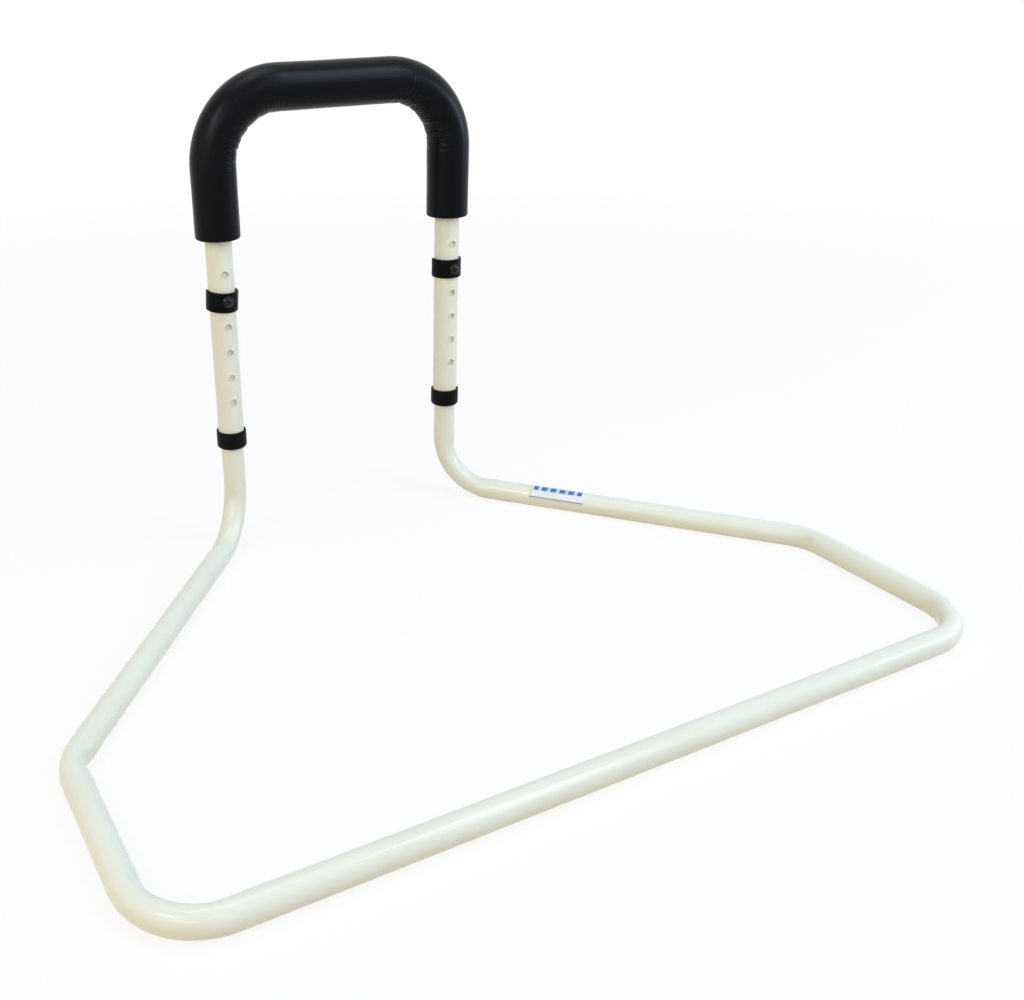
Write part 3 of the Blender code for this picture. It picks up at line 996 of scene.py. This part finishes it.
world = bpy.data.worlds.new("studio")
bpy.context.scene.world = world
world.use_nodes = True
sky = world.node_tree.nodes["Background"]
sky.inputs["Color"].default_value = (0.88, 0.97, 1.0, 1)
sky.inputs["Strength"].default_value = 0.27
white = add_node(world, "ShaderNodeBackground", {"Color": (1, 1, 1, 1), "Strength": 1.0})
show(world, "World Output", sky.outputs[0], white.outputs[0])
print("floor and backdrop are white to the camera")

# %% [markdown]
# ## Light
#
# The reflections in the paint tell where the light was: a tall cool window to the right and above,
# which two lamps stand for, softer cool light further round to the right, a pale ceiling, a small
# window to the left, a thin strip in front that lies along the bar, and warm light from the left.
# Each lamp has its place, the point that it faces, its two sizes in metres, its watts and its colour.

# %% Lamps
def lamp(name, place, target, size, size_y, energy, colour):
    data = bpy.data.lights.new(name, "AREA")
    data.shape = "RECTANGLE"
    data.size = size
    data.size_y = size_y
    data.energy = energy
    data.color = colour
    item = bpy.data.objects.new(name, data)
    item.location = place
    item.rotation_euler = (Vector(target) - Vector(place)).to_track_quat("-Z", "Y").to_euler()
    bpy.context.scene.collection.objects.link(item)


lamp("window_low", (0.92, -1.38, 1.46), (0, 0.2, 0.42), 0.6, 1.0, 7, (0.72, 0.82, 1.0))
lamp("window_high", (0.92, -0.77, 2.06), (0, 0.2, 0.42), 0.6, 1.0, 15, (0.69, 0.81, 1.0))
lamp("right_high", (1.65, -0.9, 0.95), (0.1, 0.2, 0.42), 0.55, 0.55, 4, (0.60, 0.74, 1.0))
lamp("right_low", (1.75, -0.45, 0.55), (0, 0.2, 0.3), 0.8, 0.6, 8.5, (0.62, 0.76, 1.0))
lamp("left_window", (-1.35, -0.45, 1.5), (0, 0.1, 0.4), 0.45, 0.5, 6.5, (0.84, 0.94, 1.0))
lamp("ceiling", (-0.1, 0.3, 1.9), (0, 0.1, 0.3), 0.9, 0.9, 7.5, (0.84, 0.93, 1.0))
lamp("strip", (1.0, -1.57, 1.72), (1.0, -0.17, 0), 3.6, 0.03, 3, (0.96, 0.98, 1.0))
lamp("front_left", (-2.1, -1.8, 1.7), (-0.2, -0.1, 0.1), 1.8, 0.28, 12.5, (1.0, 0.92, 0.82))
lamp("left_fill", (-1.7, -0.4, 0.9), (0, 0, 0.2), 2.0, 1.6, 9, (1.0, 0.76, 0.50))

# %% [markdown]
# ## Camera
#
# The camera stands in front of the bar and to its left, a little above the handle's top. Its place
# and lens were worked out from the outline of the tubes. The frame is shifted, because the picture
# was cropped after it was taken.

# %% Camera
PICTURE_WIDTH = 1024
FOCAL_PIXELS = 1135.07
SENSOR = 36
CAMERA_PLACE = Vector((-0.48638, -0.76296, 0.54646))
CAMERA_AZIMUTH = math.radians(-27.40)
CAMERA_ELEVATION = math.radians(24.63)
CAMERA_ROLL = math.radians(-0.82)
SHIFT_RIGHT = 139.52
SHIFT_DOWN = 15.63

back = Vector((math.sin(CAMERA_AZIMUTH) * math.cos(CAMERA_ELEVATION),
               -math.cos(CAMERA_AZIMUTH) * math.cos(CAMERA_ELEVATION), math.sin(CAMERA_ELEVATION)))
level = UP.cross(back).normalized()
upright = back.cross(level)
right_side = level * math.cos(CAMERA_ROLL) + upright * math.sin(CAMERA_ROLL)
top_side = upright * math.cos(CAMERA_ROLL) - level * math.sin(CAMERA_ROLL)
camera_data = bpy.data.cameras.new("camera")
camera_data.sensor_fit = "HORIZONTAL"
camera_data.sensor_width = SENSOR
camera_data.lens = FOCAL_PIXELS / PICTURE_WIDTH * SENSOR
camera_data.shift_x = SHIFT_RIGHT / PICTURE_WIDTH
camera_data.shift_y = -SHIFT_DOWN / PICTURE_WIDTH
camera = bpy.data.objects.new("camera", camera_data)
turned = Matrix((right_side, top_side, back)).transposed().to_4x4()
camera.matrix_world = Matrix.Translation(CAMERA_PLACE) @ turned
bpy.context.scene.collection.objects.link(camera)
bpy.context.scene.camera = camera
bpy.context.scene.view_settings.view_transform = "Standard"
print(f"lens {camera_data.lens:.2f} mm")
